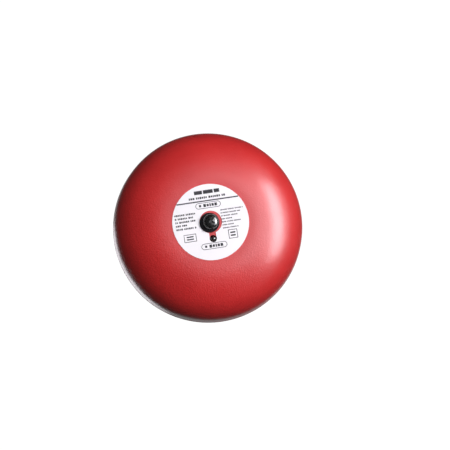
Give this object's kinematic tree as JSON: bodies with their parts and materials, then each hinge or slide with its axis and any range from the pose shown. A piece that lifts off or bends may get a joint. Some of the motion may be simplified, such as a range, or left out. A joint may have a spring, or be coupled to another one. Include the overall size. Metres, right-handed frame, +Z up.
{
  "type": "fire alarm bell",
  "caption": "Round underdome fire alarm bell: red dished gong on a centre post over a solenoid striker in a black housing on a square wall-box plate.",
  "frame": {"origin": "centre of the mounting plate's wall face", "axes": "+Z up, +Y into the wall, the gong faces -Y, +X to the right as seen from the front"},
  "size_m": [0.1522, 0.0628, 0.1522],
  "materials": {
    "gong_paint": "satin red powder coat",
    "label_vinyl": "white printed label",
    "black_oxide": "black oxide",
    "bright_zinc": "bright zinc plate",
    "plate_zinc": "zinc plated sheet",
    "housing_black": "black painted die casting",
    "green_zinc": "green chromate",
    "magnet_steel": "plain steel",
    "nylon": "natural nylon",
    "enamel_copper": "enamelled copper wire",
    "yellow_tape": "polyester tape",
    "spring_steel": "spring steel",
    "bronze": "sintered bronze",
    "brass_screw": "brass",
    "black_rubber": "moulded rubber",
    "phenolic": "black moulding",
    "lead_sleeve": "insulated lead"
  },
  "bodies": {
    "bell": {"gong": "gong_paint", "gong_label": "label_vinyl", "gong_screw": "black_oxide", "gong_washer": "black_oxide", "centre_post": "bright_zinc", "positioning_pin": "bright_zinc", "mounting_plate": "plate_zinc", "mechanism_housing": "housing_black", "ground_screw": "green_zinc", "solenoid_frame": "magnet_steel", "coil_bobbin": "nylon", "coil_winding": "enamel_copper", "coil_tape": "yellow_tape", "pole_piece": "magnet_steel", "return_spring": "spring_steel", "guide_bush": "bronze", "backstop_pad": "black_rubber", "terminal_block": "phenolic", "rectifier": "phenolic", "coil_lead_top": "lead_sleeve", "coil_lead_bottom": "lead_sleeve", "rectifier_lead": "lead_sleeve", "housing_screw_1": "bright_zinc", "terminal_screw_1": "brass_screw", "wire_clamp_1": "bright_zinc", "housing_screw_2": "bright_zinc", "terminal_screw_2": "brass_screw", "wire_clamp_2": "bright_zinc", "housing_screw_3": "bright_zinc", "terminal_screw_3": "brass_screw", "wire_clamp_3": "bright_zinc", "housing_screw_4": "bright_zinc", "terminal_screw_4": "brass_screw", "wire_clamp_4": "bright_zinc", "solenoid_screw_1": "bright_zinc", "block_screw_1": "bright_zinc", "solenoid_screw_2": "bright_zinc", "block_screw_2": "bright_zinc"},
    "striker": {"plunger": "magnet_steel", "spring_clip": "spring_steel", "striker_rod": "bright_zinc", "striker_tip": "nylon"}
  },
  "joints": [
    {"name": "striker_slide", "type": "slide", "parent": "bell", "child": "striker", "axis": [0, 0, -1], "range_m": [0, 0.0032], "stiffness_N_per_m": 300, "springref_m": -0.008, "deforming": ["return_spring"]}
  ]
}
